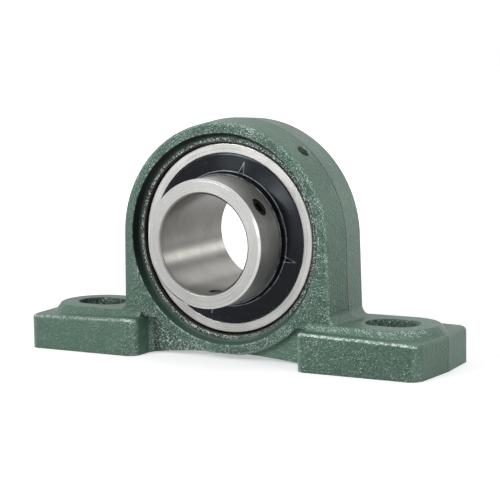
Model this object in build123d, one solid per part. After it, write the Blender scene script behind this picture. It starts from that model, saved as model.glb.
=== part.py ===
from build123d import *
import os
from math import atan, cos, degrees, radians, sin, sqrt, tan

# Pillow block bearing: an insert ball bearing that tilts in the spherical seat of a cast housing.
# Millimetres. The origin is the bearing's centre, on the shaft's axis and in the housing's middle plane.
# X runs along the base, Y along the shaft, Z is up. The set screws are at the front, which faces -Y.

# Insert bearing, from the bore outwards
bore_r = 20.0
bore_chamfer = 0.8
inner_wall = 6.0
inner_corner = 0.9
inner_front = 30.2  # from the centre to the wide end's face
inner_rear = 19.0
ball_r = 6.0
ball_count = 9
ball_play = 0.02  # between a ball and the bottom of either raceway
race_depth = 2.02
race_r = 6.24  # section radius of both raceways
outer_wall = 3.98
outer_width = 21.0
outer_corner = 0.3
outer_shoulder = 2.3
seal_step = 1.2
oil_hole_r = 1.0

# Ball cage: two pressed ribbons that close round the balls and are riveted between them
cage_t = 0.8
cage_width = 4.6  # radial
pocket_gap = 0.15
rivet_r = 0.75
rivet_head_r = 1.5
rivet_head_t = 0.5

# Seals
seal_gap = 0.4  # from the cage to the seal
seal_t = 0.8
seal_lip_t = 0.5
lip_root = 2.6  # from the inner ring to the steel core
lip_gap = 0.04
lip_lean = 0.5

# Slingers, which turn with the inner ring in front of the seals
slinger_t = 0.7
slinger_gap = 0.25  # round the rim and from the seal's lip
slinger_rim_inset = 0.3  # below the outer ring's face
slinger_dish = 1.2
slinger_curl = 1.5
slinger_seat = 0.7
slinger_bend_r = 0.6
dart_count = 4
dart_length = 5.6
dart_half_width = 1.3
dart_depth = 0.6
dart_angle = 15.0  # of the first one, clockwise from the top as seen from the front

# Set screws
screw_r = 3.9
screw_clearance = 0.05
screw_length = 5.5
screw_sink = 0.2  # below the inner ring's surface
screw_chamfer = 0.5
socket_across = 4.0
socket_depth = 2.8
cup_r = 2.2
cup_depth = 1.0
screw_y = -21.5
screw_angles = (55.0, 175.0)  # clockwise from the top as seen from the front

# Housing head
centre_height = 49.2
seat_clearance = 0.04
seat_half_width = 9.9
seat_flare = 0.75
head_wall = 8.36
head_width = 31.0
head_splay = 0.6  # how far each side leans out down to the foot
head_edge_r = 1.8
toe_r = 4.0
draft_angle = 4.0
lip_width = 2.5
lip_depth = 11.6  # from the middle plane to the flat lip round the seat
recess_draft = 0.9
recess_edge_r = 0.7
recess_fillet = 1.2
loading_slot_gap = 0.3  # above and below the outer ring
loading_slot_depth = 0.8  # past the seat
groove_y = -4.7
groove_half_width = 1.5
groove_depth = 1.0
port_angle = 42.0
port_r = 2.6
port_mouth_r = 3.1
port_floor = 2.6  # from the seat to the tapped hole's floor
port_passage_r = 1.2

# Housing base
base_length = 184.0
base_width = 50.0
foot_height = 15.5  # at its inner end
foot_slope = 1.4  # degrees, down to the outer end
foot_gap = 74.4
foot_corner_r = 5.0
foot_inner_r = 4.5
foot_edge_r = 1.6
web_t = 24.0
web_fillet = 3.0
arch_rise = 2.6
bolt_spacing = 137.0
slot_width = 17.0
slot_length = 23.3
boss_height = 2.1
boss_width = 33.0
boss_reach = 19.0  # from the slot's centre to the boss's outer end
boss_slope = 1.6
boss_edge_r = 1.0

# Sizes that follow from those above
inner_r = bore_r + inner_wall
inner_race_r = inner_r - race_depth
pitch_r = inner_race_r + ball_play + ball_r
outer_race_r = pitch_r + ball_r + ball_play
sphere_r = outer_race_r + outer_wall
outer_half = outer_width / 2
land_r = outer_race_r - outer_shoulder
seal_seat_r = land_r + seal_step
cage_half = ball_r + pocket_gap + cage_t
seal_y = cage_half + seal_gap
seat_r = sphere_r + seat_clearance
head_r = seat_r + head_wall
head_half = head_width / 2
base_z = -centre_height
foot_z = base_z + foot_height
boss_z = foot_z + boss_height
foot_drop = (base_length - foot_gap) / 2 * tan(radians(foot_slope))
overrun = 5.0  # how far a cutting tool runs past the surface it opens


def clock(angle, r, y=0.0):
    """Point at radius r, at an angle clockwise from the top as seen from the front."""
    return Vector(r * sin(radians(angle)), y, r * cos(radians(angle)))


def radial(angle, r, y=0.0):
    """Plane at that point whose normal points away from the shaft's axis."""
    return Plane(origin=clock(angle, r, y), x_dir=(0, 1, 0), z_dir=clock(angle, 1))


def turned(outline):
    """Solid of revolution about the shaft from an outline of (radius, y) drawn in the XY plane."""
    return revolve(outline, Axis.Y)


def ring_blank(r_in, r_out, y_low, y_high):
    """Plain ring about the shaft."""
    return turned(Pos((r_in + r_out) / 2, (y_low + y_high) / 2) * Rectangle(r_out - r_in, y_high - y_low))


def raceway(centre_r):
    """Torus that cuts a raceway, with its section's centre at centre_r."""
    return turned(Pos(centre_r, 0) * Circle(race_r))


def head_outline(r, y):
    """Outline of the head: a full ring with straight sides that run down and out on the foot's boss."""
    side_x = r + head_splay
    toe_x = side_x + toe_r
    join_x = sqrt(r ** 2 - foot_z ** 2)
    right = (
        Line((r, 0), (side_x, boss_z + toe_r))
        + RadiusArc((side_x, boss_z + toe_r), (toe_x, boss_z), -toe_r)
        + Line((toe_x, boss_z), (toe_x, foot_z))
        + Line((toe_x, foot_z), (join_x, foot_z))
    )
    left = mirror(right, Plane.YZ)
    top = ThreePointArc((-r, 0), (0, r), (r, 0))
    bottom = ThreePointArc((-join_x, foot_z), (0, -r), (join_x, foot_z))
    return Plane.XZ.offset(-y) * make_face(right + left + top + bottom)


def head():
    """The head before its seat is cut, drafted both ways from the middle plane."""
    face_r = head_r - head_half * tan(radians(draft_angle))
    middle = head_outline(head_r, 0)
    front = loft([middle, head_outline(face_r, -head_half)], ruled=True)
    back = loft([middle, head_outline(face_r, head_half)], ruled=True)
    body = front + back
    rims = [
        edge
        for edge in body.edges()
        if abs(abs(edge.center().Y) - head_half) < head_edge_r and not on_foot(edge)
    ]
    return fillet(rims, head_edge_r)


def on_foot(edge):
    """Whether an edge of the head ends inside a foot, where it needs no rounding."""
    return edge.geom_type == GeomType.LINE and edge.center().Z < boss_z + head_edge_r


def base():
    """Both feet and the thinner web between them, up to the shelf round each boss."""
    end_x = base_length / 2
    half = base_width / 2
    corner_x = end_x - half * tan(radians(draft_angle))
    inner_x = foot_gap / 2
    web_half = web_t / 2
    quarter = [(0, -web_half), (inner_x, -web_half), (inner_x, -half), (corner_x, -half), (end_x, 0), (0, 0)]
    plan = make_face(Polyline(*quarter, close=True))
    corners = plan.vertices()
    plan = fillet(corners.sort_by_distance((corner_x, -half))[0], foot_corner_r)
    plan = fillet(plan.vertices().sort_by_distance((inner_x, -half))[0], foot_inner_r)
    plan = fillet(plan.vertices().sort_by_distance((inner_x, -web_half))[0], web_fillet)
    plan += mirror(plan, Plane.YZ)
    plan += mirror(plan, Plane.XZ)
    block = extrude(Pos(0, 0, base_z) * plan, foot_height)
    for side in (-1, 1):
        above = Pos(side * end_x, 0, overrun / 2) * Box(base_length, 2 * base_width, overrun)
        block -= Pos(side * inner_x, 0, foot_z) * Rot(0, side * foot_slope, 0) * above
    rims = [
        edge
        for edge in block.edges()
        if edge.center().Z > foot_z - foot_drop - foot_edge_r and abs(edge.center().X) > inner_x + foot_edge_r / 2
    ]
    return fillet(rims, foot_edge_r)


def boss(side):
    """Raised pad round one bolt slot, with sloped sides."""
    slot_x = bolt_spacing / 2
    inner_x = foot_gap / 2 + foot_edge_r

    def pad(width, reach, z):
        end_x = slot_x + reach - width / 2
        outline = Pos(end_x, 0) * Circle(width / 2)
        outline += Pos((inner_x + end_x) / 2, 0) * Rectangle(end_x - inner_x, width)
        return Pos(0, 0, z) * outline

    spread = boss_slope * (1 + foot_drop / boss_height)
    foot = pad(boss_width + 2 * spread, boss_reach + spread, foot_z - foot_drop)
    top = pad(boss_width, boss_reach, boss_z)
    solid = loft([foot, top], ruled=True)
    rim = [edge for edge in solid.faces().sort_by(Axis.Z)[-1].edges() if edge.center().X > inner_x]
    solid = fillet(rim, boss_edge_r)
    return solid if side > 0 else mirror(solid, Plane.YZ)


def seat_cavity():
    """What is turned out of the head: the seat, its grease groove, and a recess with a flat lip each side."""
    seat_edge_r = sqrt(seat_r ** 2 - seat_half_width ** 2)
    face_y = head_half + overrun
    foot_r = seat_edge_r + seat_flare + lip_width
    mouth_r = foot_r + recess_draft
    half = (
        ThreePointArc((seat_r, 0), seat_arc_middle(), (seat_edge_r, seat_half_width))
        + FilletPolyline(
            (seat_edge_r, seat_half_width),
            (seat_edge_r + seat_flare, lip_depth),
            (foot_r, lip_depth),
            (mouth_r, head_half - recess_edge_r),
            radius=(recess_edge_r / 2, recess_fillet),
        )
        + RadiusArc((mouth_r, head_half - recess_edge_r), (mouth_r + recess_edge_r, head_half), recess_edge_r)
        + Polyline((mouth_r + recess_edge_r, head_half), (mouth_r + recess_edge_r, face_y), (0, face_y))
    )
    other = mirror(half, Plane.XZ)
    cavity = turned(make_face(half + other + Line((0, face_y), (0, -face_y))))
    groove = ring_blank(seat_r - 2 * groove_depth, seat_r + groove_depth, groove_y - groove_half_width,
                        groove_y + groove_half_width)
    return cavity + groove


def seat_arc_middle():
    """Middle point of the seat's half arc, in the outline's plane."""
    y = seat_half_width / 2
    return (sqrt(seat_r ** 2 - y ** 2), y)


def loading_slots():
    """Two ways at the back through which the outer ring enters edge on before it is turned into line."""
    slab = Pos(0, head_half, 0) * Box(4 * seat_r, 2 * head_half, outer_width + 2 * loading_slot_gap)
    drum = Pos(0, head_half, 0) * Rot(90, 0, 0) * Cylinder(seat_r + loading_slot_depth, 2 * head_half)
    return slab & drum


def grease_port():
    """Blind tapped hole with a countersunk mouth, and a narrow passage on to the grease groove."""
    outside = head_r - abs(groove_y) * tan(radians(draft_angle))
    plane = radial(port_angle, seat_r, groove_y)
    depth = outside - seat_r
    tapped = depth - port_floor + overrun
    hole = Pos(0, 0, port_floor + tapped / 2) * Cylinder(port_r, tapped)
    passage = Pos(0, 0, port_floor / 2) * Cylinder(port_passage_r, port_floor)
    sink = port_mouth_r - port_r
    mouth = Pos(0, 0, depth) * Cone(port_r, port_mouth_r + sink, 2 * sink)
    return plane * (hole + passage + mouth)


def housing():
    """One iron casting: head, web and two feet, with the machined seat and the cored bolt slots."""
    body = base() + boss(1) + boss(-1) + head()
    half_gap = foot_gap / 2
    arch = make_face(
        ThreePointArc((-half_gap, base_z), (0, base_z + arch_rise), (half_gap, base_z))
        + Polyline((half_gap, base_z), (half_gap, base_z - overrun), (-half_gap, base_z - overrun),
                   (-half_gap, base_z))
    )
    body -= extrude(Plane.XZ * arch, base_width, both=True)
    body -= Pos(0, 0, base_z - base_length / 2) * Box(2 * base_length, 2 * base_width, base_length)
    body -= seat_cavity()
    body -= loading_slots()
    body -= grease_port()
    for side in (-1, 1):
        slot = Pos(side * bolt_spacing / 2, 0, base_z) * SlotOverall(slot_length, slot_width)
        body -= extrude(slot, 2 * foot_height, both=True)
    return body


def outer_ring():
    """Outer ring with a spherical outside, a deep raceway and a seat for a seal at each side."""
    edge_r = sqrt(sphere_r ** 2 - outer_half ** 2)
    outline = make_face(
        ThreePointArc((edge_r, -outer_half), (sphere_r, 0), (edge_r, outer_half))
        + Polyline((edge_r, outer_half), (land_r, outer_half), (land_r, -outer_half), (edge_r, -outer_half))
    )
    outline = chamfer(outline.vertices().sort_by(Axis.X)[-2:], outer_corner)
    ring = turned(outline) - raceway(outer_race_r - race_r)
    for side in (-1, 1):
        ring -= ring_blank(land_r - overrun, seal_seat_r, side * seal_y, side * (outer_half + overrun))
    ring -= radial(port_angle, outer_race_r, groove_y) * Cylinder(oil_hole_r, 4 * outer_wall)
    return ring


def inner_ring():
    """Wide inner ring with the raceway and two tapped holes for the set screws."""
    ring = ring_blank(bore_r, inner_r, -inner_front, inner_rear)
    ends = ring.edges().filter_by(GeomType.CIRCLE)
    ring = chamfer([edge for edge in ends if edge.radius < bore_r + inner_wall / 2], bore_chamfer)
    ends = ring.edges().filter_by(GeomType.CIRCLE)
    ring = chamfer([edge for edge in ends if edge.radius > inner_r - inner_corner / 2], inner_corner)
    ring -= raceway(inner_race_r + race_r)
    for angle in screw_angles:
        ring -= radial(angle, inner_r, screw_y) * Cylinder(screw_r + screw_clearance, 4 * inner_wall,
                                                           align=(Align.CENTER, Align.CENTER, Align.CENTER))
    return ring


def ball_place(index):
    """Centre of one ball, on the pitch circle."""
    return Pos(*clock(index * 360 / ball_count, pitch_r))


def ball(index):
    """One ball of the set."""
    return ball_place(index) * Sphere(ball_r)


def cage_ribbon():
    """The rear pressed half of the cage: domes over the balls and flats between them."""
    r_in = pitch_r - cage_width / 2
    r_out = pitch_r + cage_width / 2
    ribbon = ring_blank(r_in, r_out, 0, cage_t)
    band = ring_blank(r_in, r_out, 0, cage_half)
    places = [ball_place(i) for i in range(ball_count)]
    for place in places:
        ribbon += place * Sphere(cage_half) & band
    for place in places:
        ribbon -= place * Sphere(ball_r + pocket_gap)
    for i in range(ball_count):
        ribbon -= rivet_axis(i) * Cylinder(rivet_r, 4 * cage_t)
    return ribbon


def rivet_axis(index):
    """Place of one rivet, midway between two balls and along the shaft."""
    return Pos(*clock((index + 0.5) * 360 / ball_count, pitch_r)) * Rot(90, 0, 0)


def cage_rivets():
    """All the rivets, each with a shank and two round heads."""
    rivets = []
    for i in range(ball_count):
        rivet = Cylinder(rivet_r, 2 * cage_t)
        for side in (-1, 1):
            head_z = side * (cage_t + rivet_head_t / 2)
            rivet += Pos(0, 0, head_z) * Cylinder(rivet_head_r, rivet_head_t)
        rivets.append(rivet_axis(i) * rivet)
    return Compound(children=rivets)


def seal_core(side):
    """Steel disc pressed into the outer ring."""
    outline = Polyline(
        (inner_r + lip_root, side * seal_y),
        (seal_seat_r, side * seal_y),
        (seal_seat_r, side * (seal_y + seal_t)),
        (inner_r + lip_root, side * (seal_y + seal_t)),
        close=True,
    )
    return turned(make_face(outline))


def seal_lip(side):
    """Rubber lip bonded to the core's inner edge, leaning out to the inner ring."""
    tip_r = inner_r + lip_gap
    root_r = inner_r + lip_root
    outline = Polyline(
        (root_r, side * seal_y),
        (root_r, side * (seal_y + seal_t)),
        (tip_r, side * (seal_y + lip_lean + seal_lip_t)),
        (tip_r, side * (seal_y + lip_lean)),
        close=True,
    )
    return turned(make_face(outline))


def slinger(side):
    """Pressed steel disc on the inner ring: a seat, a curl that opens outwards, and a dished flange."""
    rim_r = seal_seat_r - slinger_gap
    rim_y = outer_half - slinger_rim_inset
    seat_y = seal_y + lip_lean + seal_lip_t + slinger_gap
    curl_y = rim_y + slinger_dish
    curl_r = inner_r + slinger_curl
    outside = Polyline((inner_r, seat_y), (inner_r, seat_y + slinger_seat), (curl_r, curl_y), (rim_r, rim_y))
    wall = make_face(offset(outside, slinger_t, side=Side.RIGHT, kind=Kind.INTERSECTION, closed=True))
    wall = fillet(wall.vertices().sort_by(Axis.Y)[-1], slinger_bend_r)
    wall = fillet(wall.vertices().sort_by_distance((rim_r, rim_y))[0], slinger_t / 2)
    disc = turned(wall)
    slope = slinger_dish / (rim_r - curl_r)
    dart_r = inner_r + slinger_t
    dart_y = curl_y + (curl_r - dart_r) * slope
    first = Pos(0, dart_y, dart_r) * Rot(degrees(atan(slope)), 0, 0) * dart()
    for i in range(dart_count):
        disc -= Rot(0, dart_angle + i * 360 / dart_count, 0) * first
    return disc if side > 0 else mirror(disc, Plane.XZ)


def dart():
    """Cutter for one crimped dart: a pyramid lying along the flange, with its point outwards."""
    half = 2 * dart_half_width
    mouth = make_face(Polyline((-half, dart_depth), (0, -dart_depth), (half, dart_depth), close=True))
    return loft([mouth, Vertex(0, 0, dart_length)])


def set_screw(angle):
    """Cup point set screw with a hexagon socket."""
    outer_end = inner_r - screw_sink
    axis = radial(angle, outer_end, screw_y)
    body = Pos(0, 0, -screw_length / 2) * Cylinder(screw_r, screw_length)
    body = chamfer(body.edges().filter_by(GeomType.CIRCLE), screw_chamfer)
    socket = RegularPolygon(socket_across / 2, 6, major_radius=False)
    body -= extrude(socket, -socket_depth)
    body -= Pos(0, 0, -screw_length + cup_depth / 2) * Cone(cup_r, 0.0, cup_depth)
    return axis * body


parts = {
    "housing": housing(),
    "outer_ring": outer_ring(),
    "inner_ring": inner_ring(),
    "cage_front": mirror(cage_ribbon(), Plane.XZ),
    "cage_rear": cage_ribbon(),
    "cage_rivets": cage_rivets(),
    "seal_front": seal_core(-1),
    "seal_rear": seal_core(1),
    "seal_front_lip": seal_lip(-1),
    "seal_rear_lip": seal_lip(1),
    "slinger_front": slinger(-1),
    "slinger_rear": slinger(1),
}
for number in range(ball_count):
    parts[f"ball_{number + 1}"] = ball(number)
for number, screw_angle in enumerate(screw_angles):
    parts[f"set_screw_{number + 1}"] = set_screw(screw_angle)

os.makedirs("parts", exist_ok=True)
for name, shape in parts.items():
    export_step(shape, f"parts/{name}.step")
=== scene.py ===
import bpy
import bmesh
from math import atan2, cos, hypot, pi, radians, sin
from mathutils import Matrix, Vector


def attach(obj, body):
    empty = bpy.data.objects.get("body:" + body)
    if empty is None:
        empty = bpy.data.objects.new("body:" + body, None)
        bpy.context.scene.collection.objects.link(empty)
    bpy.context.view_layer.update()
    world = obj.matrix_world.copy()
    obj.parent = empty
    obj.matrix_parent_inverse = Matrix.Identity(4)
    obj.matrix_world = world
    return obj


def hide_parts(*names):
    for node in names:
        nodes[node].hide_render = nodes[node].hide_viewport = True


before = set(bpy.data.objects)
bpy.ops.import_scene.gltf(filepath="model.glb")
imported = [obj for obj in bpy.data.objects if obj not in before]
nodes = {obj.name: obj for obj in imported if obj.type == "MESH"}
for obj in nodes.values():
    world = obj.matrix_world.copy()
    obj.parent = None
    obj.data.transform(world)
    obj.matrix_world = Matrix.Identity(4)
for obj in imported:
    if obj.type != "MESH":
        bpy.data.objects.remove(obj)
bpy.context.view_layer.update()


# Housing: one grey iron casting from a sand mould, with the bearing's seat turned in it and the base milled.
# It is painted green over the sand's skin before the seat is turned, so the seat and the base are bare iron.
seat_r, lip_r, recess_r, mouth_r = 0.0397, 0.0411, 0.0435, 0.0447
half_ring, lip_depth, web_depth, recess_mouth, foot_front = 0.01065, 0.0121, 0.0125, 0.01515, 0.0230
milled_z, foot_face_z, slot_top_z, web_top_z = -0.0491, -0.0335, -0.0318, -0.030
left_foot_x, right_foot_x, calm_web_x = -0.041, 0.038, 0.001
slot_x, half_slot_length, half_slot_width = 0.0685, 0.0118, 0.0087
port_spot, port_mouth, port_below_r = (0.0303, -0.0047, 0.0336), 0.0041, 0.0478


def finish(name, colour, roughness, metallic=0.0):
    """A new finish: its node tree, and its shader with the values that are the same all over."""
    material = bpy.data.materials.new(name)
    material.use_nodes = True
    shader = material.node_tree.nodes["Principled BSDF"]
    shader.inputs["Base Color"].default_value = (*colour, 1)
    shader.inputs["Roughness"].default_value = roughness
    shader.inputs["Metallic"].default_value = metallic
    return material, material.node_tree, shader


def lay(tree, kind, inputs=None, **settings):
    """Lays one node into a finish. An input is a plain value, or another node's output, which is linked."""
    node = tree.nodes.new(kind)
    for name, value in settings.items():
        setattr(node, name, value)
    for name, value in (inputs or {}).items():
        if isinstance(value, bpy.types.NodeSocket):
            tree.links.new(value, node.inputs[name])
        else:
            node.inputs[name].default_value = value
    return node


def reckon(tree, operation, first, second=0.0, third=0.0, clamp=False):
    """One sum on values that change over a surface."""
    inputs = {0: first, 1: second, 2: third}
    return lay(tree, "ShaderNodeMath", inputs, operation=operation, use_clamp=clamp).outputs[0]


def step_up(tree, value, low, high, start=0.0, end=1.0):
    """A value that rises smoothly from start to end as another goes from low to high."""
    inputs = {"Value": value, "From Min": low, "From Max": high, "To Min": start, "To Max": end}
    return lay(tree, "ShaderNodeMapRange", inputs, interpolation_type="SMOOTHSTEP").outputs[0]


def past(tree, value, edge, soft):
    """Mask that is 1 where a value is past an edge, with a soft step this far to each side of it."""
    return step_up(tree, value, edge - soft, edge + soft)


def up_to(tree, value, edge, soft):
    """Mask that is 1 up to an edge, with a soft step this far to each side of it."""
    return step_up(tree, value, edge + soft, edge - soft)


def all_of(tree, first, *others):
    """Mask where all of these hold: their product."""
    for mask in others:
        first = reckon(tree, "MULTIPLY", first, mask)
    return first


def any_of(tree, first, *others):
    """Mask where any of these holds: the highest of them."""
    for mask in others:
        first = reckon(tree, "MAXIMUM", first, mask)
    return first


def add_up(tree, total, *parts):
    """A value with these masks added, each times its own share."""
    for mask, share in parts:
        total = reckon(tree, "MULTIPLY_ADD", mask, share, total)
    return total


def blend_colour(tree, share, one, other):
    """One colour over another by a share."""
    inputs = {0: share}
    for place, value in ((6, one), (7, other)):
        inputs[place] = value if isinstance(value, bpy.types.NodeSocket) else (*value, 1)
    return lay(tree, "ShaderNodeMix", inputs, data_type="RGBA", clamp_factor=True).outputs[2]


def coat(tree, colour, *layers):
    """A colour with others laid over it, each by a mask and at most by a share."""
    for mask, most, over in layers:
        colour = blend_colour(tree, reckon(tree, "MULTIPLY", mask, most), colour, over)
    return colour


def place_on(tree):
    """A piece's own coordinates in metres: the point, and its x, y and z apart."""
    point = lay(tree, "ShaderNodeTexCoord").outputs["Object"]
    return point, *lay(tree, "ShaderNodeSeparateXYZ", {0: point}).outputs


def from_shaft(tree, x, z):
    """Distance from the shaft's middle line."""
    flat = lay(tree, "ShaderNodeCombineXYZ", {0: x, 2: z}).outputs[0]
    return lay(tree, "ShaderNodeVectorMath", {0: flat}, operation="LENGTH").outputs["Value"]


def grain_of(tree, point, scale, detail=2.0, roughness=0.5):
    """Even random grain, from 0 to 1, with this many grains a metre."""
    inputs = {"Vector": point, "Scale": scale, "Detail": detail, "Roughness": roughness}
    return lay(tree, "ShaderNodeTexNoise", inputs).outputs["Fac"]


def raise_skin(tree, shader, height, distance, corner_r=0.0002):
    """Puts a height, times this distance in metres, on a surface whose corners are eased by a radius."""
    eased = lay(tree, "ShaderNodeBevel", {"Radius": corner_r}, samples=4).outputs[0]
    inputs = {"Height": height, "Distance": distance, "Normal": eased}
    tree.links.new(lay(tree, "ShaderNodeBump", inputs).outputs[0], shader.inputs["Normal"])


def effect(name, inputs, outputs):
    """A new shader node group with named number inputs, and its input and output nodes."""
    group = bpy.data.node_groups.new(name, "ShaderNodeTree")
    for label, value in inputs.items():
        group.interface.new_socket(label, in_out="INPUT", socket_type="NodeSocketFloat").default_value = value
    for label in outputs:
        group.interface.new_socket(label, in_out="OUTPUT", socket_type="NodeSocketFloat")
    return group, lay(group, "NodeGroupInput").outputs, lay(group, "NodeGroupOutput").inputs


def use(tree, group, **inputs):
    """Places an effect in a finish, with its own values, and gives its outputs."""
    return lay(tree, "ShaderNodeGroup", inputs, node_tree=group).outputs


def edge_wear_effect():
    """Mask that is 1 on worn corners: where a rounded normal leaves the flat one, broken up by grain."""
    group, given, result = effect("edge wear", {"Radius": 0.0005, "Reach": 6.0, "Patches": 400.0}, ["Worn"])
    rounded = lay(group, "ShaderNodeBevel", {"Radius": given["Radius"]}, samples=6).outputs[0]
    straight = lay(group, "ShaderNodeNewGeometry").outputs["Normal"]
    dot = lay(group, "ShaderNodeVectorMath", {0: rounded, 1: straight}, operation="DOT_PRODUCT")
    corner = reckon(group, "MULTIPLY", reckon(group, "SUBTRACT", 1.0, dot.outputs["Value"]), given["Reach"])
    patch = grain_of(group, place_on(group)[0], given["Patches"], 4.0, 0.6)
    worn = reckon(group, "MULTIPLY", corner, step_up(group, patch, 0.35, 0.65), clamp=True)
    group.links.new(worn, result["Worn"])
    return group


def cast_skin_effect():
    """The sand mould's orange peel: a height, the glint of its grains' tips, and the pits between them."""
    group, given, result = effect("cast skin", {"Grains": 900.0}, ["Height", "Glint", "Pits"])
    point = place_on(group)[0]
    cells = lay(group, "ShaderNodeTexVoronoi", {"Vector": point, "Scale": given["Grains"], "Smoothness": 0.6},
                feature="SMOOTH_F1").outputs["Distance"]
    fine = grain_of(group, point, reckon(group, "MULTIPLY", given["Grains"], 1.7), 3.0, 0.55)
    group.links.new(reckon(group, "SUBTRACT", fine, cells), result["Height"])
    sharp = grain_of(group, point, reckon(group, "MULTIPLY", given["Grains"], 2.9), 2.0, 0.6)
    patches = grain_of(group, point, reckon(group, "MULTIPLY", given["Grains"], 0.22), 3.0, 0.6)
    group.links.new(reckon(group, "MULTIPLY_ADD", patches, 0.22, sharp), result["Glint"])
    group.links.new(step_up(group, fine, 0.52, 0.34), result["Pits"])
    return group


edge_wear = edge_wear_effect()
cast_skin = cast_skin_effect()


def recess_masks(tree, radius, depth):
    """The recess round the seat: its wall, which carries painted shade, and the grey textured lip at its
    foot.
    """
    recess = all_of(tree, up_to(tree, radius, recess_r, 0.0002), up_to(tree, depth, recess_mouth, 0.00045))
    off_lip = any_of(tree, past(tree, depth, lip_depth, 0.0004), past(tree, radius, lip_r, 0.0004))
    wall = all_of(tree, recess, off_lip)
    return wall, reckon(tree, "SUBTRACT", recess, wall, clamp=True)


def web_masks(tree, x, z, depth, front):
    """The web's faces below the head: all of them, and the right-hand part, where the skin is calmer."""
    low = reckon(tree, "LESS_THAN", z, web_top_z)
    web = all_of(tree, reckon(tree, "LESS_THAN", depth, web_depth), front, low)
    return web, all_of(tree, web, past(tree, x, calm_web_x, 0.009))


def slot_mask(tree, x, z, depth):
    """The walls of the cored slots in the feet."""
    from_slot = reckon(tree, "ABSOLUTE", reckon(tree, "SUBTRACT", reckon(tree, "ABSOLUTE", x), slot_x))
    within = reckon(tree, "LESS_THAN", from_slot, half_slot_length)
    return all_of(tree, within, reckon(tree, "LESS_THAN", depth, half_slot_width),
                  reckon(tree, "LESS_THAN", z, slot_top_z))


def port_mask(tree, point, radius):
    """The mouth of the grease port, below the head's round skin."""
    apart = lay(tree, "ShaderNodeVectorMath", {0: point, 1: port_spot}, operation="DISTANCE").outputs["Value"]
    return all_of(tree, reckon(tree, "LESS_THAN", apart, port_mouth),
                  reckon(tree, "LESS_THAN", radius, port_below_r))


def parting_line(tree, point, y, front):
    """The mould's parting line, which wanders a little along the casting's middle plane."""
    wander = reckon(tree, "MULTIPLY_ADD", grain_of(tree, point, 90.0, 2.0), 0.0014, -0.0007)
    off_line = reckon(tree, "ABSOLUTE", reckon(tree, "ADD", y, wander))
    return all_of(tree, up_to(tree, off_line, 0.0003, 0.0002), reckon(tree, "SUBTRACT", 1.0, front))


def cut_iron(tree, radius, y, depth, seat):
    """Colour of the turned and milled iron, with the tool's lines, and painted shade where it lies under the
    outer ring.
    """
    lines = grain_of(tree, lay(tree, "ShaderNodeCombineXYZ", {0: radius, 1: y}).outputs[0], 5200.0, 2.0)
    iron = blend_colour(tree, lines, (0.030, 0.029, 0.028), (0.075, 0.073, 0.070))
    # Painted shade in the gap under the outer ring
    under_ring = all_of(tree, seat, up_to(tree, depth, half_ring, 0.00015))
    return blend_colour(tree, under_ring, iron, (0.012, 0.011, 0.010))


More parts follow.
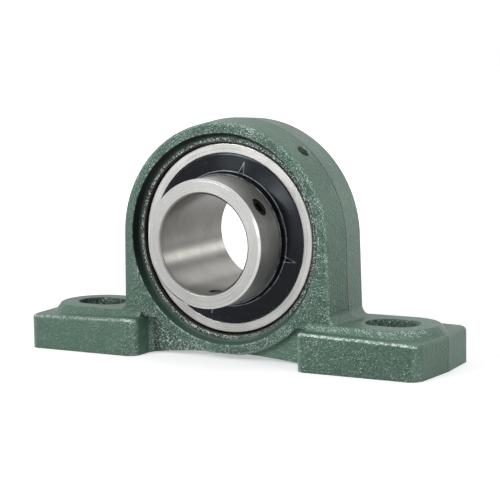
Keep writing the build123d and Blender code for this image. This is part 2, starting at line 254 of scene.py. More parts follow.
def green_paint():
    """Satin green enamel over the cast skin, with painted glints on its grains and edges and painted shade in
    its hollows and on the left foot, bare where the iron is machined.
    """
    material, tree, shader = finish("green_paint", (0.085, 0.150, 0.113), 0.30)
    shader.inputs["Specular IOR Level"].default_value = 0.26
    point, x, y, z = place_on(tree)
    radius, depth = from_shaft(tree, x, z), reckon(tree, "ABSOLUTE", y)
    normal = lay(tree, "ShaderNodeNewGeometry").outputs["Normal"]
    facing = lay(tree, "ShaderNodeSeparateXYZ", {0: normal}).outputs
    ahead = reckon(tree, "ABSOLUTE", facing[1])
    front = past(tree, ahead, 0.88, 0.08)
    seat = reckon(tree, "LESS_THAN", radius, seat_r)
    bare = any_of(tree, seat, reckon(tree, "LESS_THAN", z, milled_z))
    wall, lip = recess_masks(tree, radius, depth)
    web, calm_web = web_masks(tree, x, z, depth, front)
    coarse = add_up(tree, lip, (reckon(tree, "SUBTRACT", web, calm_web), 0.42))
    in_slot = slot_mask(tree, x, z, depth)
    left_foot = up_to(tree, x, left_foot_x, 0.005)
    right_foot = all_of(tree, past(tree, x, right_foot_x, 0.008), up_to(tree, z, foot_face_z, 0.001))

    # The skin is smoother on the sides and tops, the recess's wall, the left foot and the web's right part
    skin = use(tree, cast_skin, Grains=820.0)
    roughcast = all_of(tree, add_up(tree, 0.18, (front, 0.82)), add_up(tree, 1.0, (wall, -0.7)),
                       add_up(tree, 1.0, (left_foot, -0.82)), add_up(tree, 1.0, (calm_web, -0.65)))
    roughcast = any_of(tree, roughcast, in_slot)

    # Rounded edges are lighter with a painted highlight, with beads of painted glints on the feet's top edges
    # and the recess's mouth
    rounding = all_of(tree, past(tree, ahead, 0.26, 0.14), up_to(tree, ahead, 0.91, 0.06),
                      reckon(tree, "SUBTRACT", 1.0, wall), add_up(tree, 1.0, (left_foot, -0.6)))
    top_edge = all_of(tree, rounding, past(tree, facing[2], 0.30, 0.15),
                      past(tree, depth, foot_front, 0.0005))
    mouth_edge = all_of(tree, rounding, up_to(tree, radius, mouth_r, 0.0003))
    painted_bead_glints = all_of(tree, any_of(tree, top_edge, mouth_edge),
                   step_up(tree, grain_of(tree, point, 780.0, 2.0), 0.48, 0.58))
    shine = add_up(tree, skin["Glint"], (coarse, 0.05), (rounding, 0.045), (top_edge, 0.10),
                   (right_foot, -0.052))
    catching = any_of(tree, roughcast, reckon(tree, "MULTIPLY", rounding, 0.7))
    painted_glints = all_of(tree, step_up(tree, shine, 0.70, 0.76), catching)

    wear = use(tree, edge_wear, Radius=0.0009, Reach=5.0, Patches=1500.0)["Worn"]
    line = parting_line(tree, point, y, front)
    clouds = grain_of(tree, point, 55.0, 4.0, 0.6)
    mottled = step_up(tree, clouds, 0.3, 0.7)
    green = coat(tree, blend_colour(tree, mottled, (0.068, 0.133, 0.097), (0.086, 0.160, 0.118)),
                 # Painted shade: the left foot's faces darker
                 (left_foot, 0.8, (0.050, 0.103, 0.073)),
                 (coarse, 0.75, (0.026, 0.036, 0.032)),
                 # Painted shade in the pits between the grains
                 (skin["Pits"], roughcast, (0.042, 0.082, 0.060)),
                 # Painted highlight: rounded edges lighter
                 (rounding, 0.12, (0.20, 0.29, 0.245)),
                 # Painted glints in beads along the feet's top edges and the recess's mouth
                 (painted_bead_glints, 0.80, (0.66, 0.76, 0.72)),
                 # Painted glints: light specks on the grains' tips
                 (painted_glints, 0.9, (0.74, 0.84, 0.80)),
                 (wear, 0.5, (0.40, 0.48, 0.44)),
                 # Painted shade on the recess's wall, darkest where it faces sideways and down
                 (wall, step_up(tree, facing[2], 0.8, 0.0, 0.25, 0.95), (0.007, 0.012, 0.010)),
                 (line, 0.6, (0.030, 0.048, 0.038)),
                 (in_slot, 0.08, (0.022, 0.032, 0.027)),
                 # Painted shade in the mouth of the grease port
                 (port_mask(tree, point, radius), 1.0, (0.035, 0.060, 0.048)))
    iron = cut_iron(tree, radius, y, depth, seat)
    tree.links.new(blend_colour(tree, bare, green, iron), shader.inputs["Base Color"])
    tree.links.new(bare, shader.inputs["Metallic"])
    satin = add_up(tree, 0.33, (front, -0.12), (clouds, 0.18), (painted_glints, -0.08), (in_slot, 0.3))
    tree.links.new(satin, shader.inputs["Roughness"])
    painted = reckon(tree, "SUBTRACT", 1.0, bare)
    height = all_of(tree, skin["Height"], all_of(tree, roughcast, painted))
    raise_skin(tree, shader, add_up(tree, height, (line, 0.25)), 0.0010, corner_r=0.0011)
    return material


nodes["housing"].material_slots[0].material = green_paint()


# Thread of the grease port, tapped in the housing for a screwed nipple; none is fitted.
# It is tapped before painting, so a thin film of the green paint lies on its flanks.
def lathed(name, outline, points, closed_ends=False):
    """A piece turned about its own Z axis from an outline of (radius, height), with so many points round."""
    mesh = bpy.data.meshes.new(name)
    shape = bmesh.new()
    rows = []
    for r, z in outline:
        if r == 0:
            rows.append([shape.verts.new((0, 0, z))])
        else:
            turns = [2 * pi * i / points for i in range(points)]
            rows.append([shape.verts.new((r * cos(t), r * sin(t), z)) for t in turns])
    pairs = list(zip(rows, rows[1:] + ([] if closed_ends else rows[:1])))
    for low, high in pairs:
        for i in range(points):
            j = (i + 1) % points
            corners = [low[i % len(low)], low[j % len(low)], high[j % len(high)], high[i % len(high)]]
            corners = [corner for k, corner in enumerate(corners) if corner not in corners[:k]]
            if len(corners) > 2:
                shape.faces.new(corners)
    bmesh.ops.recalc_face_normals(shape, faces=shape.faces)
    shape.to_mesh(mesh)
    shape.free()
    mesh.shade_smooth()
    piece = bpy.data.objects.new(name, mesh)
    bpy.context.scene.collection.objects.link(piece)
    return piece


def workshop(name, sizes):
    """A new Geometry Nodes tree with a mesh and a finish to work on, and named sizes."""
    tree = bpy.data.node_groups.new(name, "GeometryNodeTree")
    tree.interface.new_socket("Geometry", in_out="INPUT", socket_type="NodeSocketGeometry")
    tree.interface.new_socket("Finish", in_out="INPUT", socket_type="NodeSocketMaterial")
    for label, (kind, value) in sizes.items():
        socket = tree.interface.new_socket(label, in_out="INPUT", socket_type=f"NodeSocket{kind}")
        socket.default_value = value
    tree.interface.new_socket("Geometry", in_out="OUTPUT", socket_type="NodeSocketGeometry")
    given = lay(tree, "NodeGroupInput").outputs
    return tree, given


def hand_out(tree, geometry, given):
    """Ends a tree: real faces with the finish on them."""
    real = lay(tree, "GeometryNodeRealizeInstances", {0: geometry}).outputs[0]
    done = lay(tree, "GeometryNodeSetMaterial", {"Geometry": real, "Material": given["Finish"]}).outputs[0]
    lay(tree, "NodeGroupOutput", {0: done})


def worked(piece, tree, finish_used, **sizes):
    """Runs a tree on a piece with these sizes, and leaves the plain mesh that comes out."""
    modifier = piece.modifiers.new(tree.name, "NODES")
    modifier.node_group = tree
    sizes["Finish"] = finish_used
    for item in tree.interface.items_tree:
        if item.in_out == "INPUT" and item.name in sizes:
            modifier[item.identifier] = sizes[item.name]
    bpy.context.view_layer.update()
    seen = piece.evaluated_get(bpy.context.evaluated_depsgraph_get())
    mesh = bpy.data.meshes.new_from_object(seen)
    piece.modifiers.remove(modifier)
    piece.data = mesh


def thread_cutter():
    """Tree that cuts a V thread round the Z axis into every turned wall outside one radius."""
    sizes = {"Pitch": ("Float", 0.001), "Depth": ("Float", 0.0005), "Inside": ("Float", 0.002),
             "From": ("Float", 0.0), "To": ("Float", 0.005)}
    tree, given = workshop("thread cutter", sizes)
    at = lay(tree, "ShaderNodeSeparateXYZ", {0: lay(tree, "GeometryNodeInputPosition").outputs[0]}).outputs
    flat = lay(tree, "ShaderNodeCombineXYZ", {0: at[0], 1: at[1]}).outputs[0]
    radius = lay(tree, "ShaderNodeVectorMath", {0: flat}, operation="LENGTH").outputs["Value"]
    turn = reckon(tree, "DIVIDE", reckon(tree, "ARCTAN2", at[1], at[0]), 2 * pi)
    turns = reckon(tree, "SUBTRACT", reckon(tree, "DIVIDE", at[2], given["Pitch"]), turn)
    from_root = reckon(tree, "ABSOLUTE", reckon(tree, "SUBTRACT", reckon(tree, "FRACT", turns), 0.5))
    flank = reckon(tree, "MULTIPLY", from_root, 2.0)
    from_start = reckon(tree, "SUBTRACT", at[2], given["From"])
    to_end = reckon(tree, "SUBTRACT", given["To"], at[2])
    run_in = reckon(tree, "DIVIDE", from_start, given["Pitch"], clamp=True)
    run_out = reckon(tree, "DIVIDE", to_end, given["Pitch"], clamp=True)
    cut = all_of(tree, flank, given["Depth"])
    cut = all_of(tree, cut, all_of(tree, run_in, run_out))
    outward = lay(tree, "ShaderNodeVectorMath", {0: flat}, operation="NORMALIZE").outputs[0]
    inward = {0: outward, "Scale": reckon(tree, "MULTIPLY", cut, -1.0)}
    offset = lay(tree, "ShaderNodeVectorMath", inward, operation="SCALE").outputs[0]
    inputs = {0: radius, 1: given["Inside"]}
    chosen = lay(tree, "FunctionNodeCompare", inputs, operation="GREATER_THAN").outputs[0]
    inputs = {"Geometry": given["Geometry"], "Selection": chosen, "Offset": offset}
    hand_out(tree, lay(tree, "GeometryNodeSetPosition", inputs).outputs[0], given)
    return tree


def on_radius(angle, r, y):
    """Place at radius r and depth y, at an angle clockwise from the top, with Z away from the shaft."""
    out = Vector((sin(radians(angle)), 0, cos(radians(angle))))
    along = Vector((0, 1, 0))
    turned = Matrix((along, out.cross(along), out)).transposed().to_4x4()
    return Matrix.Translation(out * r + Vector((0, y, 0))) @ turned


def filmed_iron():
    """Cut cast iron in a deep hole under a thin film of paint, darker where the film is thin."""
    material, tree, shader = finish("filmed_iron", (0.05, 0.085, 0.066), 0.45)
    point = place_on(tree)[0]
    pores = grain_of(tree, point, 4200.0, 3.0, 0.6)
    colour = blend_colour(tree, pores, (0.035, 0.058, 0.046), (0.10, 0.16, 0.13))
    tree.links.new(colour, shader.inputs["Base Color"])
    tree.links.new(step_up(tree, pores, 0.2, 0.8, 0.35, 0.6), shader.inputs["Roughness"])
    raise_skin(tree, shader, pores, 0.00002)
    return material


thread_cutting = thread_cutter()
port_angle, port_y = 42.0, -0.0047
port_hole_r, port_proud, port_sunk, port_bottom, row_gap = 0.0026, 0.00001, 0.0006, 0.0428, 0.0001
port_rows = [port_bottom + i * row_gap for i in range(47)]
port_wall = [(port_hole_r - port_proud, z) for z in port_rows]
port_wall += [(port_hole_r + port_sunk, port_rows[-1]), (port_hole_r + port_sunk, port_rows[0])]
port_thread = lathed("port_thread", port_wall, 48)
worked(port_thread, thread_cutting, filmed_iron(), Pitch=0.00075, Depth=0.00036, Inside=0.001,
       From=port_rows[0], To=port_rows[-1])
port_thread.data.transform(on_radius(port_angle, 0.0, port_y))
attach(port_thread, "housing")


# Outer ring: bearing steel, hardened and ground all over.
# Its outside is a sphere, which the housing's seat holds and lets tilt.
def turned_grain_effect():
    """Fine rings that a grinding wheel leaves round the shaft: a height, and where they shine less."""
    group, given, result = effect("turned grain", {"Lines": 3000.0, "Clouds": 60.0}, ["Height", "Shade"])
    point, x, y, z = place_on(group)
    drift = reckon(group, "MULTIPLY", reckon(group, "ADD", x, z), 0.01)
    across = lay(group, "ShaderNodeCombineXYZ", {0: from_shaft(group, x, z), 1: y, 2: drift}).outputs[0]
    lines = grain_of(group, across, given["Lines"], 4.0, 0.65)
    cloud = grain_of(group, point, given["Clouds"], 3.0, 0.55)
    group.links.new(lines, result["Height"])
    shade = add_up(group, reckon(group, "MULTIPLY", cloud, 0.4), (lines, 0.6))
    group.links.new(shade, result["Shade"])
    return group


turned_grain = turned_grain_effect()


def ground_steel(name, dull, bright, roughness):
    """Ground bearing steel: fine rings, uneven shine, and corners polished by handling."""
    material, tree, shader = finish(name, bright, roughness, 1.0)
    grain = use(tree, turned_grain, Lines=3200.0, Clouds=70.0)
    worn = use(tree, edge_wear, Radius=0.00035, Reach=4.0, Patches=900.0)["Worn"]
    stains = step_up(tree, grain_of(tree, place_on(tree)[0], 210.0, 5.0, 0.65), 0.62, 0.75)
    colour = coat(tree, blend_colour(tree, step_up(tree, grain["Shade"], 0.3, 0.7), dull, bright),
                  (stains, 0.12, (0.20, 0.18, 0.15)),
                  (worn, 0.5, (0.90, 0.90, 0.88)))
    tree.links.new(colour, shader.inputs["Base Color"])
    spread = step_up(tree, grain["Shade"], 0.3, 0.7, roughness - 0.07, roughness + 0.09)
    tree.links.new(add_up(tree, spread, (stains, 0.08)), shader.inputs["Roughness"])
    raise_skin(tree, shader, grain["Height"], 0.000012)
    return material


nodes["outer_ring"].material_slots[0].material = ground_steel(
    "ground_ring_steel", (0.25, 0.25, 0.24), (0.345, 0.345, 0.335), 0.27)


# Balls: nine, of through-hardened bearing steel, lapped to a mirror, with the faintest haze of oil.
# They run between both rings' raceways, and the cage keeps them apart.
def lapped_steel():
    """Lapped steel with a thin film of oil that gathers in clouds."""
    material, tree, shader = finish("lapped_ball_steel", (0.78, 0.78, 0.77), 0.08, 1.0)
    point = place_on(tree)[0]
    oil = grain_of(tree, point, 320.0, 4.0, 0.55)
    colour = blend_colour(tree, oil, (0.70, 0.69, 0.65), (0.84, 0.84, 0.85))
    tree.links.new(colour, shader.inputs["Base Color"])
    tree.links.new(step_up(tree, oil, 0.3, 0.7, 0.04, 0.14), shader.inputs["Roughness"])
    raise_skin(tree, shader, grain_of(tree, point, 1500.0, 2.0), 0.000002)
    return material


ball_finish = lapped_steel()
for number in range(1, 10):
    nodes[f"ball_{number}"].material_slots[0].material = ball_finish


# Cage: two ribbons pressed from steel strip, one from each side.
# They close round the balls and are riveted together between them.
def pressed_steel(name, dull, bright, roughness):
    """Pressed steel: the grain that rolling leaves in it, and rubbed corners."""
    material, tree, shader = finish(name, bright, roughness, 1.0)
    point = place_on(tree)[0]
    stretched = lay(tree, "ShaderNodeMapping", {"Vector": point, "Scale": (1.0, 5.0, 1.0)}).outputs[0]
    rolled = grain_of(tree, stretched, 1400.0, 4.0, 0.6)
    worn = use(tree, edge_wear, Radius=0.0003, Reach=5.0, Patches=1200.0)["Worn"]
    colour = coat(tree, blend_colour(tree, rolled, dull, bright), (worn, 0.6, (0.82, 0.81, 0.78)))
    tree.links.new(colour, shader.inputs["Base Color"])
    spread = step_up(tree, rolled, 0.3, 0.7, roughness - 0.08, roughness + 0.10)
    tree.links.new(spread, shader.inputs["Roughness"])
    raise_skin(tree, shader, rolled, 0.000018)
    return material


cage_finish = pressed_steel("pressed_cage_steel", (0.38, 0.37, 0.35), (0.60, 0.59, 0.56), 0.36)
for node in ("cage_front", "cage_rear"):
    nodes[node].material_slots[0].material = cage_finish


# Cage rivets: soft steel wire headed to a dome at both ends.
# One between each two balls holds the cage's ribbons together.
def rivet_ring():
    """Tree that sets one rivet many times round the shaft, midway between the balls."""
    sizes = {"Rivets": ("Int", 9), "Circle": ("Float", 0.03), "First": ("Float", 0.0)}
    tree, given = workshop("rivet ring", sizes)
    line = lay(tree, "GeometryNodeMeshLine", {"Count": given["Rivets"], "Offset": (0, 0, 0)}).outputs[0]
    index = lay(tree, "GeometryNodeInputIndex").outputs[0]
    share = reckon(tree, "DIVIDE", index, given["Rivets"])
    angle = reckon(tree, "MULTIPLY_ADD", share, 2 * pi, given["First"])
    over = reckon(tree, "MULTIPLY", reckon(tree, "SINE", angle), given["Circle"])
    up = reckon(tree, "MULTIPLY", reckon(tree, "COSINE", angle), given["Circle"])
    spot = lay(tree, "ShaderNodeCombineXYZ", {0: over, 2: up}).outputs[0]
    spread = lay(tree, "GeometryNodeSetPosition", {"Geometry": line, "Position": spot}).outputs[0]
    turn = lay(tree, "ShaderNodeCombineXYZ", {1: angle}).outputs[0]
    inputs = {"Points": spread, "Instance": given["Geometry"], "Rotation": turn}
    hand_out(tree, lay(tree, "GeometryNodeInstanceOnPoints", inputs).outputs[0], given)
    return tree


strip, rivets, rivet_circle_r, first_rivet = 0.0008, 9, 0.03, radians(20)
shank_r, head_r, head_rise, straight_share = 0.00075, 0.0015, 0.0005, 0.12
dome = []
for degrees in range(0, 90, 15):
    risen = straight_share + (1 - straight_share) * sin(radians(degrees))
    dome.append((head_r * cos(radians(degrees)), strip + head_rise * risen))
half_rivet = [(shank_r, strip), (head_r, strip)] + dome + [(0, strip + head_rise)]
rivet_outline = [(r, -z) for r, z in reversed(half_rivet)] + half_rivet
cage_rivets = lathed("cage_rivet_set", rivet_outline, 24, closed_ends=True)
cage_rivets.data.transform(Matrix.Rotation(radians(90), 4, "X"))
rivet_finish = pressed_steel("headed_rivet_steel", (0.42, 0.41, 0.40), (0.66, 0.65, 0.63), 0.30)
worked(cage_rivets, rivet_ring(), rivet_finish, Rivets=rivets, Circle=rivet_circle_r, First=first_rivet)
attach(cage_rivets, "cage")
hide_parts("cage_rivets")


# Seals: a coated steel disc pressed into the outer ring at each side.
# A moulded rubber lip is bonded to its inner edge and runs close round the inner ring.
def coated_disc():
    """Black coated sheet steel with a dull, slightly uneven skin."""
    material, tree, shader = finish("coated_seal_steel", (0.030, 0.030, 0.033), 0.45)
    grain = use(tree, turned_grain, Lines=1500.0, Clouds=150.0)
    worn = use(tree, edge_wear, Radius=0.0003, Reach=4.0, Patches=900.0)["Worn"]
    colour = blend_colour(tree, grain["Shade"], (0.022, 0.022, 0.025), (0.045, 0.045, 0.048))
    tree.links.new(coat(tree, colour, (worn, 0.5, (0.30, 0.30, 0.30))), shader.inputs["Base Color"])
    tree.links.new(step_up(tree, grain["Shade"], 0.3, 0.7, 0.36, 0.54), shader.inputs["Roughness"])
    raise_skin(tree, shader, grain["Height"], 0.00002)
    return material


def moulded_rubber():
    """Black nitrile rubber with a fine matt skin and a little bloom."""
    material, tree, shader = finish("moulded_rubber", (0.022, 0.022, 0.022), 0.62)
    point = place_on(tree)[0]
    skin = grain_of(tree, point, 3000.0, 3.0, 0.6)
    bloom = grain_of(tree, point, 260.0, 4.0, 0.6)
    colour = blend_colour(tree, bloom, (0.016, 0.016, 0.016), (0.040, 0.040, 0.039))
    tree.links.new(colour, shader.inputs["Base Color"])
    tree.links.new(step_up(tree, bloom, 0.3, 0.7, 0.52, 0.72), shader.inputs["Roughness"])
    raise_skin(tree, shader, skin, 0.00003)
    return material


disc_finish, rubber_finish = coated_disc(), moulded_rubber()
for side in ("front", "rear"):
    nodes[f"seal_{side}"].material_slots[0].material = disc_finish
    nodes[f"seal_{side}_lip"].material_slots[0].material = rubber_finish


# Inner ring: bearing steel, wide at the front for the set screws, ground in the bore and on both ends.
# The outside is only turned, and the bore has a film of the grease that keeps it from rust.
bore_edge_r, turned_from_r, corner_from_r, corner_to_r = 0.02045, 0.02575, 0.0251, 0.0259


def bored_steel():
    """Bearing steel: ground ends, a duller turned outside with painted highlights on its corners, and a bore
    darkened with painted shade under a warm film of grease.
    """
    material, tree, shader = finish("ground_inner_steel", (0.37, 0.37, 0.36), 0.28, 1.0)
    point, x, _, z = place_on(tree)
    radius = from_shaft(tree, x, z)
    grain = use(tree, turned_grain, Lines=2600.0, Clouds=70.0)
    worn = use(tree, edge_wear, Radius=0.00035, Reach=4.0, Patches=900.0)["Worn"]
    shade = step_up(tree, grain["Shade"], 0.3, 0.7)
    haze = step_up(tree, grain_of(tree, point, 130.0, 4.0, 0.6), 0.3, 0.7)
    bore = up_to(tree, radius, bore_edge_r, 0.00025)
    outside = past(tree, radius, turned_from_r, 0.00015)
    corner = all_of(tree, past(tree, radius, corner_from_r, 0.0001), up_to(tree, radius, corner_to_r, 0.0001))
    ends = blend_colour(tree, shade, (0.250, 0.250, 0.241), (0.298, 0.298, 0.289))
    turned = blend_colour(tree, shade, (0.23, 0.227, 0.220), (0.31, 0.31, 0.305))
    # Painted shade: the bore darker than the ends, with the warm tint and haze of its grease
    bore_shade_and_grease = blend_colour(tree, haze, (0.150, 0.144, 0.131), (0.178, 0.173, 0.160))
    colour = blend_colour(tree, bore, blend_colour(tree, outside, ends, turned), bore_shade_and_grease)
    # Painted highlight: a light line on the rounded corners between the ends and the outside
    colour = coat(tree, colour, (corner, 0.7, (0.70, 0.70, 0.69)), (worn, 0.10, (0.85, 0.85, 0.83)))
    tree.links.new(colour, shader.inputs["Base Color"])
    dull = add_up(tree, 0.23, (outside, 0.15), (shade, 0.08), (bore, 0.04))
    tree.links.new(dull, shader.inputs["Roughness"])

    # The turned lines run round the outside and stretch its shine one way
    around = lay(tree, "ShaderNodeTangent", direction_type="RADIAL", axis="Y").outputs[0]
    tree.links.new(around, shader.inputs["Tangent"])
    tree.links.new(reckon(tree, "MULTIPLY", outside, 0.8), shader.inputs["Anisotropic"])
    shader.inputs["Anisotropic Rotation"].default_value = 0.25
    lines = all_of(tree, grain["Height"], add_up(tree, 1.0, (bore, -0.7)))
    raise_skin(tree, shader, lines, 0.000008)
    return material


nodes["inner_ring"].material_slots[0].material = bored_steel()


# Slingers: discs pressed from thin steel, coated glossy black. A collar grips the inner ring on each side,
# and four darts pressed in the flange stiffen its corner. They turn with the inner ring and cover the seals.
dart_tip_r, dart_length, half_dart, dart_depth, flange_r = 0.0323, 0.0056, 0.0013, 0.0006, 0.0269
fold_middle_r, half_fold = 0.0298, 0.0026
first_dart, dart_step = radians(15), radians(90)
curl_r, rim_r, lip_y = 0.0275, 0.03439, 0.014125


def dart_folds(tree, x, z, radius):
    """The two folds of each dart, a long triangle in the flange that points outwards."""
    from_first = reckon(tree, "SUBTRACT", reckon(tree, "ARCTAN2", x, z), first_dart)
    aside = reckon(tree, "PINGPONG", from_first, dart_step / 2)
    across = reckon(tree, "MULTIPLY", radius, reckon(tree, "SINE", aside))
    along = reckon(tree, "MULTIPLY", radius, reckon(tree, "COSINE", aside))
    fold = reckon(tree, "MULTIPLY", reckon(tree, "SUBTRACT", dart_tip_r, along), half_dart / dart_length)
    off_fold = reckon(tree, "ABSOLUTE", reckon(tree, "SUBTRACT", across, fold))
    return all_of(tree, up_to(tree, off_fold, 0.00014, 0.00006),
                  reckon(tree, "COMPARE", along, fold_middle_r, half_fold))


def glossy_black():
    """Glossy black coating with grit and fine rings, painted highlights along the rim, curl and lip, and
    rubbed through on the darts' folds.
    """
    material, tree, shader = finish("glossy_black_coating", (0.004, 0.004, 0.006), 0.16)
    shader.inputs["Specular IOR Level"].default_value = 0.17
    shader.inputs["Specular Tint"].default_value = (0.80, 0.90, 1.0, 1)
    point, x, y, z = place_on(tree)
    radius = from_shaft(tree, x, z)
    rings = use(tree, turned_grain, Lines=1300.0, Clouds=120.0)
    grit = lay(tree, "ShaderNodeTexVoronoi", {"Vector": point, "Scale": 420.0}).outputs["Distance"]
    grit = step_up(tree, grit, 0.10, 0.05)
    off_curl = reckon(tree, "ABSOLUTE", reckon(tree, "SUBTRACT", radius, curl_r))
    curl = up_to(tree, off_curl, 0.00015, 0.00007)
    rim = past(tree, radius, rim_r, 0.00007)
    lip = past(tree, reckon(tree, "ABSOLUTE", y), lip_y, 0.000075)
    patches = step_up(tree, grain_of(tree, point, 300.0, 3.0, 0.6), 0.35, 0.6, 0.25, 1.0)
    # Painted highlights as thin light lines on the curl, the collar's lip and the rim; the darts' folds are
    # rubbed through
    highlit_and_rubbed = any_of(tree, reckon(tree, "MULTIPLY", curl, 0.55), reckon(tree, "MULTIPLY", lip, 0.45),
                    reckon(tree, "MULTIPLY", rim, 0.30), dart_folds(tree, x, z, radius))
    colour = coat(tree, blend_colour(tree, rings["Shade"], (0.002, 0.002, 0.003), (0.006, 0.007, 0.010)),
                  (all_of(tree, highlit_and_rubbed, patches), 0.9, (0.50, 0.52, 0.54)),
                  (grit, 0.30, (0.28, 0.27, 0.25)))
    tree.links.new(colour, shader.inputs["Base Color"])
    dulled = add_up(tree, step_up(tree, rings["Shade"], 0.3, 0.7, 0.11, 0.20), (grit, 0.25))
    tree.links.new(dulled, shader.inputs["Roughness"])
    raise_skin(tree, shader, rings["Height"], 0.000008)
    return material


def press_darts(disc, forwards):
    """Dents a disc with four long triangles, deepest at the collar, and only in its flange."""
    for vert in disc.data.vertices:
        radius = hypot(vert.co.x, vert.co.z)
        from_first = atan2(vert.co.x, vert.co.z) - first_dart
        aside = (from_first + dart_step / 2) % dart_step - dart_step / 2
        across, along = abs(radius * sin(aside)), radius * cos(aside)
        share = (dart_tip_r - along) / dart_length
        if along > flange_r and across < half_dart * share:
            vert.co.y -= forwards * dart_depth * share * (1 - across / (half_dart * share))


slinger_finish = glossy_black()

# The disc's outline, as radius and height in millimetres
collar = [(26.0, 13.9), (26.15, 14.2), (26.45, 14.3), (26.68, 14.15), (26.75, 13.8), (26.75, 12.9),
          (26.78, 12.3), (26.88, 11.95), (27.05, 11.65), (27.3, 11.45), (27.7, 11.33)]
flange = [(28.2 + i * 0.4, 11.28 - i * 0.067) for i in range(16)]
rolled_rim = [(34.45, 10.2), (34.58, 10.05), (34.61, 9.87), (34.55, 9.62), (34.4, 9.54)]
behind = [(34.0 - i * 0.4, 9.60 + i * 0.067) for i in range(16)]
behind += [(27.2, 10.75), (26.6, 11.0), (26.2, 11.4), (26.0, 11.9)]
disc_outline = [(r / 1000, h / 1000) for r, h in collar + flange + rolled_rim + behind]
for side, forwards in (("front", -1), ("rear", 1)):
    disc = lathed(f"pressed_slinger_{side}", disc_outline, 480)
    disc.data.transform(Matrix.Rotation(radians(-90 * forwards), 4, "X"))
    press_darts(disc, forwards)
    disc.data.materials.append(slinger_finish)
    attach(disc, "inner")
    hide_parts(f"slinger_{side}")


# Set screws: cup point screws with a hexagon socket and a rolled thread, hardened and blacked.
# They are screwed in through the inner ring, and their cups bite on the shaft.
def blacked_steel():
    """Black oxide: nearly black in the roots, rubbed to steel on the thread's crests and the socket's rim."""
    material, tree, shader = finish("blacked_steel", (0.030, 0.030, 0.032), 0.34, 1.0)
    point = place_on(tree)[0]
    worn = use(tree, edge_wear, Radius=0.00015, Reach=3.0, Patches=2600.0)["Worn"]
    blotches = grain_of(tree, point, 900.0, 4.0, 0.6)
    colour = blend_colour(tree, blotches, (0.040, 0.039, 0.040), (0.11, 0.107, 0.105))
    tree.links.new(coat(tree, colour, (worn, 0.9, (0.60, 0.59, 0.57))), shader.inputs["Base Color"])
    tree.links.new(step_up(tree, blotches, 0.3, 0.7, 0.26, 0.46), shader.inputs["Roughness"])
    raise_skin(tree, shader, blotches, 0.00002)
    return material


def with_socket(screw, across, depth):
    """Sinks a hexagon socket into the flat outer end of a turned screw."""
    shape = bmesh.new()
    shape.from_mesh(screw.data)
    rim = sorted((v for v in shape.verts if abs(v.co.z) < 1e-7), key=lambda v: atan2(v.co.y, v.co.x))

    def hexagon(z):
        ring = []
        for vert in rim:
            turn = atan2(vert.co.y, vert.co.x)
            reach = across / 2 / cos((turn + radians(30)) % radians(60) - radians(30))
            ring.append(shape.verts.new((reach * cos(turn), reach * sin(turn), z)))
        return ring

    rows = [rim, hexagon(0), hexagon(-depth)]
    bottom = shape.verts.new((0, 0, -depth - across * 0.08))
    for outer, inner in zip(rows, rows[1:]):
        for i, vert in enumerate(outer):
            j = (i + 1) % len(rim)
            shape.faces.new((vert, outer[j], inner[j], inner[i]))
    for i, vert in enumerate(rows[-1]):
        shape.faces.new((vert, rows[-1][(i + 1) % len(rim)], bottom))
    bmesh.ops.recalc_face_normals(shape, faces=shape.faces)
    shape.to_mesh(screw.data)
    shape.free()
    screw.data.shade_smooth()
    screw.data.set_sharp_from_angle(angle=radians(35))


screw_r, screw_length, bevel = 0.0039, 0.0055, 0.0005
cup_r, cup_depth, socket_across, socket_depth = 0.0022, 0.001, 0.004, 0.0028
flush_r, screw_y = 0.0258, -0.0215
thread_rows = [-screw_length + bevel + i * row_gap for i in range(46)]
screw_outline = [(0, cup_depth - screw_length), (cup_r, -screw_length), (screw_r - bevel, -screw_length)]
screw_outline += [(screw_r, z) for z in thread_rows] + [(screw_r - bevel, 0)]
screw_finish = blacked_steel()
for number, angle in ((1, 55.0), (2, 175.0)):
    screw = lathed(f"threaded_screw_{number}", screw_outline, 48, closed_ends=True)
    worked(screw, thread_cutting, screw_finish, Pitch=0.001, Depth=0.00055, Inside=0.0035,
           From=thread_rows[0], To=thread_rows[-1])
    with_socket(screw, socket_across, socket_depth)
    screw.data.transform(on_radius(angle, flush_r, screw_y))
    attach(screw, f"screw_{number}")
    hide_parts(f"set_screw_{number}")


# Floor: a plain pale sheet under the base, which keeps the block's soft shadow.
# It glows towards white for the camera, and fully so away from the block.
floor_z, half_floor = -0.0492, 3.0
glow_from, glow_to, least_glow = 0.12, 0.7, 0.45


def seen_directly(tree):
    """1 for what the camera sees straight, mirrored or through glass, and 0 for light that is thrown on."""
    path = lay(tree, "ShaderNodeLightPath").outputs
    return any_of(tree, path["Is Camera Ray"], path["Is Glossy Ray"], path["Is Transmission Ray"])


mesh = bpy.data.meshes.new("floor")
corners = [(x * half_floor, y * half_floor, floor_z) for x, y in ((-1, -1), (1, -1), (1, 1), (-1, 1))]
mesh.from_pydata(corners, [], [(0, 1, 2, 3)])
floor = bpy.data.objects.new("floor", mesh)
bpy.context.scene.collection.objects.link(floor)
material, tree, shader = finish("pale_floor", (0.80, 0.80, 0.80), 0.8)
shader.inputs["Emission Color"].default_value = (1, 1, 1, 1)
away = lay(tree, "ShaderNodeVectorMath", {0: place_on(tree)[0]}, operation="LENGTH").outputs["Value"]
glow = step_up(tree, away, glow_from, glow_to, least_glow, 1.0)
tree.links.new(all_of(tree, seen_directly(tree), glow), shader.inputs["Emission Strength"])
mesh.materials.append(material)


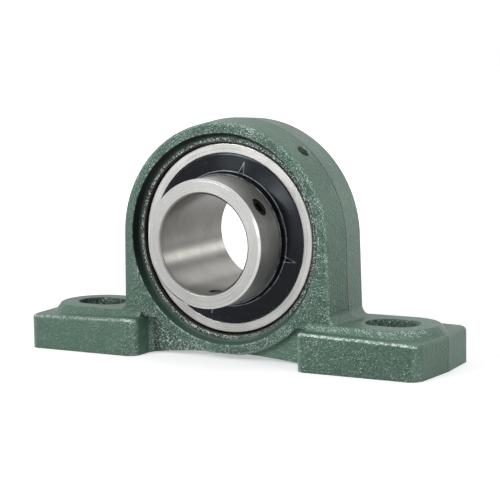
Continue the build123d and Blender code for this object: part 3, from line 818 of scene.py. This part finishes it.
# Light: a pale room all round, with soft lamps at the front left, overhead and at the right.
# Three more, one low at the front and two behind, give the coating and the bore their highlights.
room_light = 0.32
world = bpy.data.worlds.new("pale_room")
bpy.context.scene.world = world
world.use_nodes = True
tree = world.node_tree
room = tree.nodes["Background"]
room.inputs["Color"].default_value = (1, 1, 1, 1)
strength = add_up(tree, room_light, (seen_directly(tree), 1.0 - room_light))
tree.links.new(strength, room.inputs["Strength"])

for name, spot, size, watts in (("main_lamp", (-0.50, -0.95, 0.50), 0.40, 8.2),
                                ("top_lamp", (0.10, 0.20, 1.20), 0.80, 3.5),
                                ("side_lamp", (1.00, -0.35, 0.34), 0.30, 2.5),
                                ("low_lamp", (-0.36, -1.24, 0.06), 0.16, 2.3),
                                ("rear_lamp", (0.55, 1.05, 0.28), 0.25, 1.2),
                                ("high_lamp", (0.05, 1.00, 0.60), 0.50, 0.8)):
    lamp = bpy.data.lights.new(name, "AREA")
    lamp.shape = "DISK"
    lamp.size = size
    lamp.energy = watts
    holder = bpy.data.objects.new(name, lamp)
    holder.location = spot
    holder.rotation_euler = (-Vector(spot)).to_track_quat("-Z", "Y").to_euler()
    bpy.context.scene.collection.objects.link(holder)


# Camera: where the photograph was taken from, to the right of the front and a little above the shaft.
# Its place and lens were fitted to the bore, the rings, the head, the feet and their slots.
turn, height, tilt = radians(29.87), radians(7.67), radians(1.1)
target = Vector((0.00418, 0, -0.00585))
distance = 0.742
lens_px, picture_px = 1814.3, 500
back = Vector((sin(turn) * cos(height), -cos(turn) * cos(height), sin(height)))
right = (-back).cross(Vector((0, 0, 1))).normalized()
down = (-back).cross(right)
right, down = cos(tilt) * right + sin(tilt) * down, cos(tilt) * down - sin(tilt) * right
view = bpy.data.cameras.new("photo_camera")
view.sensor_width = 36.0
view.lens = lens_px / picture_px * view.sensor_width
view.clip_start, view.clip_end = 0.05, 20.0
camera = bpy.data.objects.new("photo_camera", view)
bpy.context.scene.collection.objects.link(camera)
facing = Matrix((right, -down, back)).transposed().to_4x4()
camera.matrix_world = Matrix.Translation(target + distance * back) @ facing
bpy.context.scene.camera = camera
bpy.context.scene.view_settings.view_transform = "Standard"
